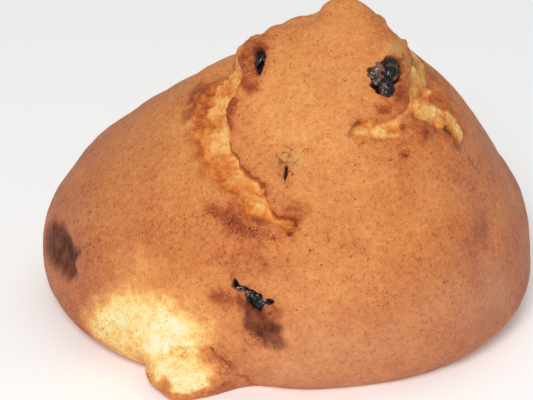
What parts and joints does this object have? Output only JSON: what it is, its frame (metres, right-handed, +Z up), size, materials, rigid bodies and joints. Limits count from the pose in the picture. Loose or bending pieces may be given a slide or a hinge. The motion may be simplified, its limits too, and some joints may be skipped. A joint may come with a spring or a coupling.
{
  "type": "tea bun",
  "caption": "Domed fruit tea bun with a burst, split crust, a peak to one side, a small spread foot and raisins showing, on a flat base.",
  "frame": {"origin": "middle of the bun's outline on the surface it stands on", "axes": "+Z up, -Y towards the front, where the longer split and the foot are, +X along the bun's greatest width, towards the side its peak leans to"},
  "size_m": [0.0928, 0.0832, 0.0598],
  "materials": {
    "crust": "baked golden-brown bread crust, dull, with paler crumb in its splits",
    "raisin": "dried, wrinkled raisin skin, glossy"
  },
  "bodies": {
    "root": {"bun": "crust", "raisin_cap_right": "raisin", "raisin_cap_left": "raisin", "raisin_front": "raisin", "raisin_back_left": "raisin", "raisin_back_right": "raisin"}
  },
  "joints": []
}
